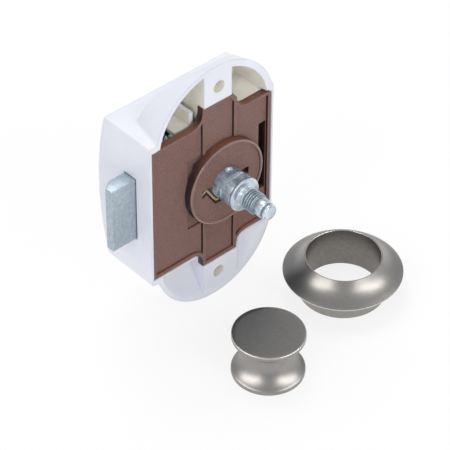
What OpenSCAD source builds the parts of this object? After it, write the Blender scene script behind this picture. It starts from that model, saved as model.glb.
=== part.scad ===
/* [Case] */
// Height of the case over its two round ends
case_h = 77; // [70:1:90]
// Radius of the round ends, seen on the mounting face
end_r = 20.3; // [18:0.1:24]
// Spindle axis to the outer face on the bolt side
backset = 25; // [24:0.5:30]
// Spindle axis to the outer face on the far side
far_side = 17.5; // [17:0.1:20]
// Height of the straight body between the round ends
body_h = 46.4; // [46:0.2:50]
// Depth of the body at its top and bottom edges
body_d = 18.4; // [18.4:0.2:21]
// How far the crowned back stands out at mid height
crown = 3; // [2.8:0.2:4]
// Thickness of the wall on the far side
side_wall = 1.2; // [1:0.1:1.3]
// Thickness of the wall that the bolt passes
near_wall = 1.7; // [1.4:0.1:2.2]
// Thickness of the walls of the round ends
end_wall = 1.3; // [1:0.1:2]
// Width of the rim beside the far pockets
far_rim = 2; // [1.6:0.1:2.4]
// Radius of the curved back of the round ends
end_back_r = 20; // [18:0.5:24]
// Depth of the round ends where they meet the body
end_d = 11.2; // [10:0.2:13]
// How much the sides of the round ends slope in, per millimetre of depth
end_slope = 0.22; // [0.1:0.02:0.3]

/* [Case screws] */
// Distance between the two mounting screws
screw_pitch = 63; // [60:0.5:66]
// Sideways offset of the screws from the spindle axis
screw_x = -1.5; // [-3:0.5:0]
// Diameter of the screw holes
screw_d = 3.6; // [3.2:0.1:4.5]
// Diameter of the recess for a screw head
screw_head_d = 7.6; // [7:0.2:9]
// Plastic left under a screw head
screw_seat = 2.4; // [1.6:0.2:3]

/* [Cover plate] */
// Depth of the plate's face behind the mounting face
plate_recess = 0.3; // [0.2:0.1:1]
// Thickness of the plate, ribs and all
plate_t = 2; // [1.8:0.1:2.4]
// Height of the ribs on the plate
rib_h = 0.7; // [0.4:0.1:1]
// Width of the ribs on the plate
rib_w = 1; // [0.8:0.1:1.4]
// Height of the plate beside its middle panel
plate_h = 42.8; // [42:0.2:43]
// How much lower the far half of the plate sits
plate_drop = 0.7; // [0:0.1:0.7]
// Plate's edge from the outer face on the bolt side
plate_near = 0.8; // [0.7:0.1:1.6]
// Plate's edge from the outer face on the far side
plate_far = 0.6; // [0.5:0.1:0.9]
// Height of the plate's middle panel
panel_h = 53.4; // [52:0.2:55]
// Radius of the sweeps beside the middle panel
sweep_r = 3.8; // [3:0.1:4]
// Left edge of the middle panel
panel_x0 = -6.9; // [-8:0.1:-6]
// Right edge of the middle panel
panel_x1 = 4.9; // [4.7:0.1:6]
// Width of the corner cut off the panel, above on the far side
panel_cut_w = 1.5; // [0.5:0.1:2]
// Height of that cut
panel_cut_h = 1.9; // [0.5:0.1:2]
// Half width of the square recess round the guide disc
window_r = 11.6; // [11:0.1:11.8]
// Width of the long slit beside the far edge
slit_w = 2.4; // [1.5:0.1:2.4]
// Length of the long slit
slit_l = 22.6; // [20:0.2:24]
// Gap between the plate and the case
plate_gap = 0.1; // [0.1:0.05:0.2]

/* [Guide disc] */
// Diameter of the disc, which fits the hole in a door
disc_d = 25.4; // [25:0.1:26]
// Height of the disc above the mounting face
disc_proud = 1.2; // [1:0.1:2]
// Width of the raised lip round the disc
lip_w = 0.9; // [0.6:0.1:1.4]
// Height of the raised lip
lip_h = 0.4; // [0.2:0.1:0.6]
// Diameter of the boss behind the disc
boss_d = 22.4; // [21:0.2:22.6]

/* [Spindle] */
// Outer diameter of the spindle sleeve
sleeve_d = 9.4; // [9:0.1:9.8]
// Running clearance round moving pieces
run_gap = 0.1; // [0.05:0.01:0.1]
// How far the stud's collar stands in front of the mounting face
collar_front = 8.6; // [7:0.2:10]
// Diameter of the stud's collar
collar_d = 9.8; // [9.4:0.1:10]
// Thickness of the stud's collar
collar_t = 1; // [0.8:0.1:1.4]
// How far the tip of the stud stands in front of the mounting face
stud_tip = 18.5; // [18:0.5:22]
// Outer diameter of the stud's thread
thread_d = 6; // [5.6:0.1:6.4]
// Spacing of the thread's crests
thread_pitch = 0.8; // [0.65:0.05:1]
// Travel of the spindle when it pops out
spindle_travel = 9; // [8:0.5:9]

/* [Bolt] */
// How far the bolt stands out when locked
bolt_throw = 8; // [7:0.5:8]
// Height of the bolt
bolt_h = 20; // [19:0.2:21]
// Thickness of the bolt
bolt_t = 4.3; // [4:0.1:4.6]
// Depth of the bolt's front face behind the mounting face
bolt_y = 5.9; // [5.6:0.1:6.2]
// Gap between the bolt and its slot in the case
bolt_gap = 0.25; // [0.15:0.05:0.3]
// Thickness of the two arms that reach round the spindle
arm_t = 2.5; // [2:0.1:2.6]
// Diameter of the pins that drive the bolt
pin_d = 2.5; // [2:0.1:2.5]
// Gap round a drive pin in its slanted slot
pin_gap = 0.15; // [0.1:0.05:0.2]

/* [Springs] */
// Coil diameter of the return spring, over the wire
return_d = 5.2; // [5:0.1:5.4]
// Wire diameter of the return spring
return_wire = 0.6; // [0.5:0.05:0.7]
// Coil diameter of the bolt spring, over the wire
side_spring_d = 4.4; // [4:0.1:4.6]
// Wire diameter of the bolt spring
side_spring_wire = 0.6; // [0.5:0.05:0.7]
// Number of turns of the bolt spring
side_spring_turns = 7; // [5:1:8]

/* [Rosette] */
// Diameter over the sloped flange
rosette_d = 32.8; // [32:0.2:36]
// Bore that the knob slides in
rosette_bore = 20.4; // [20.4:0.1:21.4]
// Whole height of the rosette
rosette_h = 12.2; // [11:0.2:14]
// Height of the collar that enters the door
rosette_collar_h = 6.6; // [5:0.2:8]
// Outer diameter of the collar
rosette_collar_d = 24.2; // [24:0.1:25]

/* [Knob] */
// Diameter of the knob
knob_d = 19.7; // [19.5:0.1:19.8]
// Height of the knob
knob_h = 13.5; // [12.5:0.1:15]
// Diameter of the knob's waist
knob_waist_d = 11.8; // [11.6:0.2:13]
// Thickness of the knob's cap at its edge
cap_t = 1.3; // [1:0.1:1.6]
// Height of the straight band at the foot of the skirt
skirt_band = 1.3; // [1:0.1:1.6]

/* [Layout] */
// Rosette's axis beyond the far side of the case
rosette_right = 6.6; // [0:0.1:60]
// Rosette's axis in front of the stud's tip
rosette_front = 3.4; // [0:0.1:60]
// Knob's axis inwards from the case's bolt side
knob_right = 12.6; // [-20:0.1:20]
// Knob's axis in front of the stud's tip
knob_front = 13.2; // [13:0.1:60]

/* [Hidden] */
$fn = 96;

white = [0.91, 0.93, 0.97];
brown = [0.48, 0.36, 0.35];
zinc = [0.66, 0.71, 0.75];
steel = [0.55, 0.57, 0.6];
brass = [0.8, 0.69, 0.42];
nickel = [0.5, 0.49, 0.48];
ivory = [0.85, 0.83, 0.76];
eps = 0.05;

// Case
end_x = far_side - end_r;
end_z = case_h / 2 - end_r;
half_body = body_h / 2;
case_w = backset + far_side;
back_y = body_d + crown;
crown_r = (half_body * half_body + crown * crown) / (2 * crown);
end_top = case_h / 2 + 0.05;
end_chord = norm([end_d, end_top - half_body]);
end_drop = sqrt(end_back_r * end_back_r - end_chord * end_chord / 4) / end_chord;
end_back_y = end_d / 2 - end_drop * (end_top - half_body);
end_back_z = (end_top + half_body) / 2 - end_drop * end_d;
cavity_z = half_body - 1.6;
cavity_x0 = -backset + near_wall;
cavity_x1 = far_side - side_wall;
cavity_y = body_d - 1.2;
deep_z = 12.6;
deep_y = back_y - 2;
floor_z = -case_h / 2;
rosette_at = [far_side + rosette_right, -stud_tip - rosette_front];
knob_at = [knob_right - backset, -stud_tip - knob_front];
pad_x0 = -6.6;
pad_x1 = 2.8;
far_floor = plate_h / 2 - plate_drop + plate_gap;

// Pieces inside the case
plate_back = plate_recess + plate_t;
bore_r = sleeve_d / 2 + run_gap;
pin_y = deep_y - 4.2;
block_y0 = pin_y - 2.6;
block_y1 = pin_y + 2.8;
block_x = sleeve_d / 2 + 1.8;
block_z = bolt_h / 2 - arm_t + 0.3 - 0.5;
arm_z1 = bolt_h / 2 + 0.3;
arm_z0 = arm_z1 - arm_t;
arm_y0 = plate_back + 1.2;
arm_y1 = deep_y - 1.2;
neck_r = sleeve_d / 2 - 0.7;
sleeve_end = deep_y - 0.4;
clip_t = 0.7;
stud_shank_d = 5.2;
stud_shank_end = 3;
seat_t = 0.5;
seat_y = deep_y;
return_y0 = 6;
web_x0 = -backset + near_wall + 0.4;
web_x1 = -backset + 9.5;
web_x2 = -backset + 6;
slot_r = pin_d / 2 + pin_gap;
arm_x1 = slot_r + 2.6;
shoulder = 2.2;
rail_w = arm_t - 0.5;
side_z = 16.6;
side_y = 8;
lug_t = 1.6;
side_x0 = web_x0 + lug_t;
side_x1 = -backset + 16.4;

// Latch: a wire on the drive block follows a heart-shaped groove
wire_d = 1.2;
wire_arm = 3.6;
wire_swing = 24;
wire_pivot_y = deep_y - 6;
wire_x = block_x + 0.3 + wire_d / 2;
track_x0 = wire_x + wire_d / 2 + 0.4;
track_t = 2.2;
groove_d = 1.3;
groove_w = wire_d + 0.5;

// Straight slot with round ends, from p to q
module slot2d(p, q, r) {
  d = q - p;
  a = atan2(d[1], d[0]);
  translate(p) circle(r);
  translate(q) circle(r);
  translate(p) rotate(a) translate([0, -r]) square([norm(d), 2 * r]);
}

// Extrudes an X-Z outline along +Y from y0 to y1
module along_y(y0, y1) {
  translate([0, y1, 0]) rotate([90, 0, 0]) linear_extrude(y1 - y0) children();
}

// Extrudes an X-Y outline along +Z from z0 to z1
module along_z(z0, z1) {
  translate([0, 0, z0]) linear_extrude(z1 - z0) children();
}

// Cylinder along +Y on the spindle axis
module rod_y(r, y0, y1) {
  translate([0, y1, 0]) rotate([90, 0, 0]) cylinder(r = r, h = y1 - y0);
}

// Turns an [r, y] outline round the spindle axis, y counted along -Y
module turn_y(outline) {
  rotate([90, 0, 0]) rotate_extrude() polygon(outline);
}

// One round end as a solid, its sides and back drawn in by inset and wall
module round_end(inset, wall) {
  front = inset > 0 ? 1 : 0;
  r = end_r - inset;
  depth = end_d + 2;
  intersection() {
    translate([end_x, -front, end_z]) rotate([-90, 0, 0])
      cylinder(r1 = r + front * end_slope, r2 = r - depth * end_slope, h = depth + front);
    translate([-backset, end_back_y, end_back_z]) rotate([0, 90, 0])
      cylinder(r = end_back_r - wall, h = case_w, $fn = 180);
    translate([-backset, -2, 0]) cube([case_w, depth + 4, case_h]);
  }
}

// Straight body with its crowned back
module body_shape() {
  intersection() {
    translate([-backset, 0, -half_body]) cube([case_w, back_y, body_h]);
    translate([-backset, back_y - crown_r, 0]) rotate([0, 90, 0])
      cylinder(r = crown_r, h = case_w, $fn = 360);
  }
}

// Extrudes a Y-Z outline along +X from x0 to x1
module along_x(x0, x1) {
  translate([x0, 0, 0]) rotate([90, 0, 90]) linear_extrude(x1 - x0) children();
}

// Room above a pocket's floor, from x0 to x1; the floor starts at z0, steps to z1 and slopes up
module above_floor(x0, x1, z0, step_y, z1) {
  z2 = cavity_z + end_wall + 0.2;
  along_x(x0, x1) polygon([
    [-2, z0], [step_y, z0], [step_y, z1], [7.5, z2], [end_d + 3, z2], [end_d + 3, case_h], [-2, case_h]
  ]);
}

// Bowl hollowed out of a round end, as wide as its rim and this deep on the end's axis
module bowl(deep) {
  r = end_r - end_wall;
  away = (r * r - deep * deep) / (2 * deep);
  translate([end_x, -away, end_z]) sphere(away + deep);
}

// The two pockets of the upper end, either side of the screw pad
module upper_pockets() {
  intersection() {
    round_end(far_rim, end_wall);
    above_floor(pad_x1, far_side, far_floor, plate_back, far_floor + 0.1);
  }
  intersection() {
    round_end(end_wall, end_wall);
    translate([-backset, -1, cavity_z - 1]) cube([backset + pad_x0, end_d + 3, case_h]);
  }
}

// Shelf and rib that stand in the open upper pocket
module pocket_ribs() {
  intersection() {
    round_end(0.4, 0.4);
    union() {
      translate([pad_x0, 0, cavity_z]) {
        along_y(3.2, end_d + 1) polygon([[-2.3, -2.1], [-1, -2.1], [-1, 3.1], [-2.3, 3.1]]);
        along_y(3.2, end_d + 1) polygon([[-7.4, -1.7], [-1.9, -1.7], [-1.9, -0.5], [-7.4, -0.5]]);
      }
    }
  }
}

// Lower pockets are shallow bowls either side of the screw pad
module lower_pockets() {
  mirror([0, 0, 1]) {
    intersection() {
      bowl(7.6);
      above_floor(-backset, panel_x0 - 1, cavity_z + 0.5, plate_recess, cavity_z + 0.5);
    }
    intersection() {
      bowl(5);
      above_floor(panel_x1 + plate_gap, far_side, cavity_z + 0.9, plate_recess, cavity_z + 1);
    }
  }
}

module screw_cut(z) {
  translate([screw_x, 0, z]) {
    rod_y(screw_d / 2, -1, end_d + 2);
    rod_y(screw_head_d / 2, screw_seat, end_d + 3);
  }
}

module housing() {
  color(white) difference() {
    union() {
      difference() {
        union() {
          body_shape();
          round_end(0, 0);
          mirror([0, 0, 1]) round_end(0, 0);
        }
        // Hollow behind the cover plate
        difference() {
          translate([cavity_x0, -1, -cavity_z]) cube([cavity_x1 - cavity_x0, cavity_y + 1, 2 * cavity_z]);
          // Solid floor under the far upper pocket
          translate([pad_x1, plate_back + 0.1, far_floor - 1.3]) cube([far_side, cavity_y, cavity_z]);
        }
        translate([cavity_x0, -1, -deep_z]) cube([cavity_x1 - cavity_x0, deep_y + 1, 2 * deep_z]);
        upper_pockets();
        lower_pockets();
      }
      pocket_ribs();
      // Spigot inside the return spring and rails for the bolt's arms
      rod_y(1.7, deep_y - 7, deep_y + eps);
      for (s = [-1, 1])
        translate([web_x2 - 1, arm_y1 + 0.3, s * (arm_z0 + arm_t / 2) - rail_w / 2])
          cube([far_side - 2 - web_x2, deep_y - arm_y1 - 0.3 + eps, rail_w]);
      // Stop behind the foot of the latch track
      translate([track_x0 + track_t + 0.1, deep_y - 3, -4]) cube([1.2, 3 + eps, 8]);
      // Wall that the bolt spring pushes against
      translate([side_x1, plate_back + 0.3, side_z - 3.2]) cube([1.6, cavity_y - plate_back, 6.4]);
    }
    // Seat of the cover plate
    along_y(-1, plate_back) plate_outline(-plate_gap);
    // Slot for the bolt
    translate([-backset - 1, bolt_y - bolt_gap, -bolt_h / 2 - bolt_gap])
      cube([near_wall + 2.2, bolt_t + 2 * bolt_gap, bolt_h + 2 * bolt_gap]);
    screw_cut(screw_pitch / 2);
    screw_cut(-screw_pitch / 2);
  }
}

// Sweep of radius r about centre c, filled towards the side given by sx and sz
module sweep_corner(c, r, sx, sz) {
  translate(c) difference() {
    translate([sx > 0 ? 0 : -r, sz > 0 ? 0 : -r]) square(r);
    circle(r);
  }
}

// Outline of the cover plate, drawn in by inset
module plate_outline(inset) {
  x0 = -backset + plate_near + inset;
  x1 = far_side - plate_far - inset;
  h = plate_h / 2 - inset;
  r = sweep_r + inset;
  translate([x0, -h]) square([panel_x0 - x0 + 1, 2 * h]);
  translate([panel_x0, -h - plate_drop]) square([x1 - panel_x0, 2 * h]);
  // Middle panel, its upper far corner cut off
  polygon([
    [panel_x0 + inset, -panel_h / 2 + inset], [panel_x1 - inset, -panel_h / 2 + inset],
    [panel_x1 - inset, panel_h / 2 - inset - panel_cut_h],
    [panel_x1 - inset - panel_cut_w, panel_h / 2 - inset], [panel_x0 + inset, panel_h / 2 - inset]
  ]);
  // Concave sweeps beside the middle panel
  for (s = [-1, 1]) {
    sweep_corner([panel_x0 - sweep_r, s * (plate_h / 2 + sweep_r)], r, 1, -s);
    sweep_corner([panel_x1 + sweep_r, s * (plate_h / 2 + sweep_r) - plate_drop], r, -1, -s);
  }
}

module cover_plate() {
  field_y = plate_recess + rib_h;
  slit_x = far_side - plate_far - rib_w - 0.2 - slit_w;
  color(brown) difference() {
    union() {
      along_y(plate_recess, plate_back) plate_outline(0);
      // Skirt behind the slit, along the case's wall
      translate([slit_x + slit_w, plate_back - eps, -slit_l / 2 - 4])
        cube([cavity_x1 - slit_x - slit_w - 0.1, 4.2, slit_l + 3.5]);
    }
    // Fields between the ribs
    difference() {
      along_y(plate_recess - 1, field_y) plate_outline(rib_w);
      along_y(plate_recess - 2, plate_back) {
        translate([panel_x0, -panel_h]) square([rib_w, 2 * panel_h]);
        translate([panel_x1 - rib_w, -panel_h]) square([rib_w, 2 * panel_h]);
      }
    }
    // Round recess that the disc lies in, wide enough for the edge of the door's hole
    rod_y(disc_d / 2 + 0.9, plate_recess - 1, field_y + 0.05);
    // Square recess behind the guide disc and the hole for its boss
    translate([-window_r, plate_recess - 1, -window_r])
      cube([window_r + panel_x1 - rib_w, 1 + rib_h + 0.6, 2 * window_r]);
    along_y(plate_recess - 1, plate_back + 1) {
      circle(boss_d / 2 + 0.4);
      translate([-window_r + 2.4, -window_r + 2.4]) square([window_r - 2.4, 2 * window_r - 4.8]);
    }
    // Long slit beside the far edge
    translate([slit_x, plate_recess - 1, -slit_l / 2 - plate_drop / 2]) cube([slit_w, plate_t + 2, slit_l]);
  }
}

module guide_disc() {
  front = -disc_proud;
  color(brown) difference() {
    union() {
      rod_y(disc_d / 2, front, plate_recess + rib_h - 0.05);
      difference() {
        rod_y(disc_d / 2, front - lip_h, front + eps);
        rod_y(disc_d / 2 - lip_w, front - lip_h - 1, front + 1);
      }
      rod_y(boss_d / 2, plate_recess - 0.1, plate_back);
    }
    rod_y(bore_r, front - 2, plate_back + 1);
    // Notches left and right of the hub
    along_y(front - 1, plate_back + 1) polygon([
      [-8.4, -1.5], [-8.4, 1.1], [-3, 1.1], [-3, -3], [-1.8, -4.4], [-1.8, -5.6], [-3.8, -5.6], [-6.8, -0.9]
    ]);
    along_y(front - 1, plate_back + 1) polygon([[3, -1.2], [7.9, -1.2], [7.9, 1], [3, 1]]);
  }
}

module bolt_head() {
  nose_x = -backset - bolt_throw;
  bevel_x = 2.7;
  bevel_y = 1.8;
  edge = 0.4;
  along_z(-bolt_h / 2, bolt_h / 2) polygon([
    [nose_x + edge, bolt_y], [web_x1, bolt_y], [web_x1, bolt_y + bolt_t],
    [nose_x + bevel_x, bolt_y + bolt_t], [nose_x, bolt_y + bolt_t - bevel_y], [nose_x, bolt_y + edge]
  ]);
}

module bolt() {
  color(zinc) {
    difference() {
      union() {
        bolt_head();
        // Stop shoulders behind the wall, and the lug that the bolt spring pushes
        translate([web_x0, bolt_y - 0.8, -bolt_h / 2 - shoulder])
          cube([shoulder, bolt_t + 1.6, bolt_h + 2 * shoulder]);
        translate([web_x0, side_y - 2.3, 0]) cube([lug_t, 4.6, side_z + 2.6]);
        // Web and the two arms round the spindle
        translate([web_x2, arm_y0, -arm_z1]) cube([web_x1 - web_x2, arm_y1 - arm_y0, 2 * arm_z1]);
        for (m = [0, 1]) mirror([0, 0, m])
          translate([web_x1 - 1, arm_y0, arm_z0]) cube([arm_x1 - web_x1 + 1, arm_y1 - arm_y0, arm_t]);
      }
      // Slanted slots that turn the spindle's push into the bolt's throw
      along_z(-arm_z1 - 1, arm_z1 + 1)
        slot2d([0, pin_y], [-bolt_throw, pin_y - spindle_travel], slot_r);
      // Hole in the lug for the spring's rod
      translate([web_x0 - 1, side_y, side_z]) rotate([0, 90, 0]) cylinder(r = 1.15, h = lug_t + 2);
    }
  }
}

module drive_block() {
  color(ivory) difference() {
    translate([-block_x, block_y0, -block_z]) cube([2 * block_x, block_y1 - block_y0, 2 * block_z]);
    rod_y(neck_r + run_gap / 2, block_y0 - 1, block_y1 + 1);
    for (m = [0, 1]) mirror([0, 0, m])
      translate([0, pin_y, neck_r + 1]) cylinder(r = pin_d / 2 + 0.02, h = block_z);
    // Pivot hole of the latch wire
    translate([neck_r + 0.9, wire_pivot_y, 0]) rotate([0, 90, 0])
      cylinder(r = wire_d / 2 + run_gap / 2, h = block_x);
  }
}

module drive_pins() {
  color(steel) for (m = [0, 1]) mirror([0, 0, m])
    translate([0, pin_y, neck_r + 1.05]) cylinder(r = pin_d / 2, h = arm_z1 - neck_r - 1.05 + 0.2);
}

module spindle_sleeve() {
  front = -collar_front + collar_t;
  dimple_y = front + 5;
  color(zinc) difference() {
    union() {
      rod_y(sleeve_d / 2, front, block_y0 - 0.05);
      rod_y(neck_r, block_y0 - 0.1, sleeve_end);
    }
    // Bore for the stud in front, and for the return spring behind
    rod_y(stud_shank_d / 2 + 0.05, front - 1, stud_shank_end + 0.3);
    rod_y(return_d / 2 + 0.2, return_y0, sleeve_end + 1);
    // Groove for the retaining clip
    difference() {
      rod_y(neck_r + 1, block_y1 + 0.1, block_y1 + 0.1 + clip_t + 0.1);
      rod_y(neck_r - 0.5, block_y1, block_y1 + 2);
    }
    // Stake mark on top, with a flat in front of it and a window on the side
    translate([0.1, dimple_y, sleeve_d / 2 + 0.4]) sphere(1.3);
    translate([-2.2, front - 0.1, sleeve_d / 2 - 0.9]) cube([4.6, 3.2, 3]);
    rotate([0, 270, 0]) translate([-1.6, front + 2.2, sleeve_d / 2 - 0.8]) cube([3.2, 2.6, 3]);
  }
}

// Thread crests as rings, from y0 towards the tip
module threaded_stud() {
  collar_back = collar_front - collar_t + 0.02;
  neck_end = collar_front + 1.4;
  crests = 5;
  groove = thread_d / 2 - 0.45;
  thread_end = neck_end + crests * thread_pitch;
  tip_r = 2.3;
  round = 0.8;
  outline = concat(
    [[0, -stud_shank_end], [stud_shank_d / 2, -stud_shank_end], [stud_shank_d / 2, collar_back],
     [collar_d / 2 - 0.2, collar_back], [collar_d / 2, collar_back + 0.2],
     [collar_d / 2, collar_front - 0.35], [collar_d / 2 - 0.35, collar_front], [3.3, collar_front],
     [2.65, collar_front + 0.5], [2.65, neck_end - 0.3]],
    [for (i = [0 : crests - 1]) each [
      [groove, neck_end + i * thread_pitch],
      [thread_d / 2, neck_end + (i + 0.38) * thread_pitch],
      [thread_d / 2, neck_end + (i + 0.56) * thread_pitch],
      [groove, neck_end + (i + 0.94) * thread_pitch]]],
    [[2.55, thread_end + 0.1], [2.55, stud_tip - 1.9], [2.1, stud_tip - 1.75],
     [2.1, stud_tip - 1.4], [tip_r, stud_tip - 1.25]],
    [for (a = [0 : 15 : 90]) [tip_r - round + round * cos(a), stud_tip - round + round * sin(a)]],
    [[0, stud_tip]]
  );
  color(zinc) turn_y(outline);
}

module retaining_clip() {
  y0 = block_y1 + 0.15;
  color(steel) difference() {
    rod_y(neck_r + 1.4, y0, y0 + clip_t);
    rod_y(neck_r - 0.45, y0 - 1, y0 + 2);
    translate([-2.2, y0 - 1, -8]) cube([4.4, 3, 8]);
  }
}

module spring_seat() {
  color(steel) difference() {
    rod_y(return_d / 2 + 0.1, seat_y - seat_t - 0.02, seat_y - 0.02);
    rod_y(1.8, seat_y - 2, seat_y + 1);
  }
}

// Tube of radius r swept along points, each ring square to the path
function unit(v) = v / norm(v);
module sweep(path, r, sides) {
  n = len(path);
  dirs = [for (i = [0 : n - 1]) unit(path[min(i + 1, n - 1)] - path[max(i - 1, 0)])];
  sidesv = [for (d = dirs) unit(cross(d, [0.11, 0.23, 0.97]))];
  pts = [for (i = [0 : n - 1]) let (u = sidesv[i], v = cross(dirs[i], u))
    for (k = [0 : sides - 1]) path[i] + r * (cos(360 * k / sides) * u + sin(360 * k / sides) * v)];
  skin = [for (i = [0 : n - 2]) for (k = [0 : sides - 1])
    let (a = i * sides + k, b = i * sides + (k + 1) % sides) each
    [[a, b, b + sides], [a, b + sides, a + sides]]];
  first = [for (k = [1 : sides - 2]) [0, k + 1, k]];
  last = [for (k = [1 : sides - 2]) let (s = (n - 1) * sides) [s, s + k, s + k + 1]];
  polyhedron(concat(pts), concat(skin, first, last));
}

// Fixed end at the back, free end against the sleeve
module return_spring() {
  color(steel) difference() {
    rod_y(return_d / 2, return_y0 + 0.05, seat_y - seat_t - 0.05);
    rod_y(return_d / 2 - return_wire, return_y0 - 1, seat_y);
  }
}

// Open coil along X; a ring every 45 degrees
function coil_point(t, turns, r, x0, x1) =
  [x0 + (x1 - x0) * t / turns, side_y + r * cos(360 * t), side_z + r * sin(360 * t)];
coil_r = (side_spring_d - side_spring_wire) / 2;
coil_x0 = side_x0 + side_spring_wire / 2 + 0.1;
coil_x1 = side_x1 - 0.95 - side_spring_wire / 2;
coil_path = [for (i = [0 : 8 * side_spring_turns])
  coil_point(i / 8, side_spring_turns, coil_r, coil_x0, coil_x1)];
coil_gap = (coil_x1 - coil_x0) / side_spring_turns - side_spring_wire;
echo(bolt_spring_gap = coil_gap);
module bolt_spring() {
  color(steel) sweep(coil_path, side_spring_wire / 2, 6);
}

module bolt_spring_rod() {
  color(steel) translate([web_x0 + 0.3, side_y, side_z]) rotate([0, 90, 0])
    cylinder(r = 1, h = side_x1 - web_x0 - 0.3);
}

module bolt_spring_cup() {
  color(ivory) translate([side_x1 - 0.85, side_y, side_z]) rotate([0, 90, 0]) difference() {
    cylinder(r = side_spring_d / 2 + 0.3, h = 0.8);
    translate([0, 0, -1]) cylinder(r = 1.05, h = 3);
  }
}

// Where the wire's tip runs in the track as the spindle pops out by s
function track_point(s) = let (a = wire_swing * s / spindle_travel)
  [wire_pivot_y - s + wire_arm * cos(a), wire_arm * sin(a)];
module groove2d() {
  steps = 4;
  step = spindle_travel / steps;
  top = track_point(spindle_travel);
  for (m = [0, 1]) mirror([0, m]) for (i = [0 : steps - 1])
    slot2d(track_point(i * step), track_point((i + 1) * step), groove_w / 2);
  slot2d(top, [top[0], -top[1]], groove_w / 2);
}

module latch_track() {
  z = 5.6;
  color(ivory) difference() {
    translate([track_x0, plate_back + 0.3, -z]) cube([track_t, deep_y - plate_back - 0.35, 2 * z]);
    translate([track_x0 - 1, 0, 0]) rotate([90, 0, 90]) linear_extrude(groove_d + 1) groove2d();
  }
}

module latch_wire() {
  r = wire_d / 2;
  tip_y = wire_pivot_y + wire_arm;
  color(steel) {
    translate([neck_r + 1, wire_pivot_y, 0]) rotate([0, 90, 0]) cylinder(r = r, h = wire_x - neck_r - 1);
    translate([wire_x, wire_pivot_y, 0]) sphere(r);
    translate([wire_x, tip_y, 0]) rotate([90, 0, 0]) cylinder(r = r, h = wire_arm);
    translate([wire_x, tip_y, 0]) sphere(r);
    translate([wire_x, tip_y, 0]) rotate([0, 90, 0]) cylinder(r = r, h = track_x0 + groove_d - 0.2 - wire_x);
  }
}

// Bent strip in the disc's left notch
module leaf_spring() {
  t = 0.5;
  y0 = -0.6;
  color(brass) along_y(y0, y0 + 1.2) {
    slot2d([-8.1, -0.8], [-6.3, 0.05], t / 2);
    slot2d([-6.3, 0.05], [-3.2, -4.8], t / 2);
    slot2d([-3.2, -4.8], [-2.4, -5.1], t / 2);
  }
}

module rosette() {
  r0 = rosette_bore / 2;
  r1 = rosette_d / 2;
  rc = rosette_collar_d / 2;
  h = rosette_h;
  c = rosette_collar_h;
  edge = 0.7;
  wide = r1 - r0 - 0.4;
  tall = h - c - edge;
  color(nickel) translate([rosette_at[0], rosette_at[1], floor_z]) rotate_extrude() polygon(concat(
    [[r0, 0], [rc, 0], [rc, c], [r1 - 0.4, c], [r1, c + 0.3], [r1, c + edge]],
    [for (t = [0.12 : 0.11 : 1]) let (bow = 0.09 * sin(180 * t))
      [r1 - wide * (t + bow), c + edge + tall * (t - bow)]],
    [[r0 + 0.25, h], [r0 + 0.1, h - 0.05], [r0, h - 0.3]]
  ));
}

// The knob's flared skirt, waist and cap, as an [r, z] profile
skirt_turn = 32;
function knob_profile() = let (r = knob_d / 2, w = knob_waist_d / 2, top = knob_h - cap_t,
  arc = (r - 0.1 - w) / (1 - sin(skirt_turn)), waist = skirt_band + arc * cos(skirt_turn))
  concat(
    [[r - 0.2, 0], [r, 0.2], [r, skirt_band - 0.1]],
    [for (i = [0 : 8]) let (a = skirt_turn + (90 - skirt_turn) * i / 8)
      [w + arc * (1 - sin(a)), waist - arc * cos(a)]],
    [for (a = [15 : 15 : 75]) [w + (r - w - 0.2) * (1 - cos(a)), waist + (top - waist) * sin(a)]],
    [[r - 0.15, top], [r, top + 0.2], [r, knob_h - 0.35], [r - 0.35, knob_h]]
  );
insert_r = knob_waist_d / 2 - 2;
flange_r = 6;
module knob() {
  color(nickel) translate([knob_at[0], knob_at[1], floor_z]) rotate_extrude() polygon(concat(
    [[0, knob_h], [0, 8.4], [insert_r, 8.4], [insert_r, 5], [flange_r + 0.2, 3.2], [flange_r + 0.2, 2.3],
     [flange_r + 1.6, 0.8], [flange_r + 1.9, 0]],
    knob_profile()
  ));
}

module knob_insert() {
  bore = thread_d / 2 + 0.05;
  r = insert_r - 0.05;
  color(ivory) translate([knob_at[0], knob_at[1], floor_z]) rotate_extrude() polygon([
    [bore, 0.9], [flange_r, 0.9], [flange_r, 2.2], [r, 3], [r, 8.35], [2.35, 8.35], [2.35, 6.4],
    [bore, 6.4], [bore, 2.6], [3.4, 2.6], [3.4, 1.8], [bore, 1.8]
  ]);
}

module knob_clip() {
  color(steel) translate([knob_at[0], knob_at[1], floor_z + 2.2]) difference() {
    rotate_extrude() translate([3.05, 0]) circle(0.3, $fn = 24);
    translate([0, -1, -1]) cube([6, 2, 2]);
  }
}

housing();
cover_plate();
guide_disc();
bolt();
drive_block();
drive_pins();
spindle_sleeve();
threaded_stud();
retaining_clip();
spring_seat();
return_spring();
latch_track();
latch_wire();
leaf_spring();
bolt_spring();
bolt_spring_rod();
bolt_spring_cup();
rosette();
knob();
knob_insert();
knob_clip();
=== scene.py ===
import math

import bpy
from mathutils import Matrix, Vector


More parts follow.
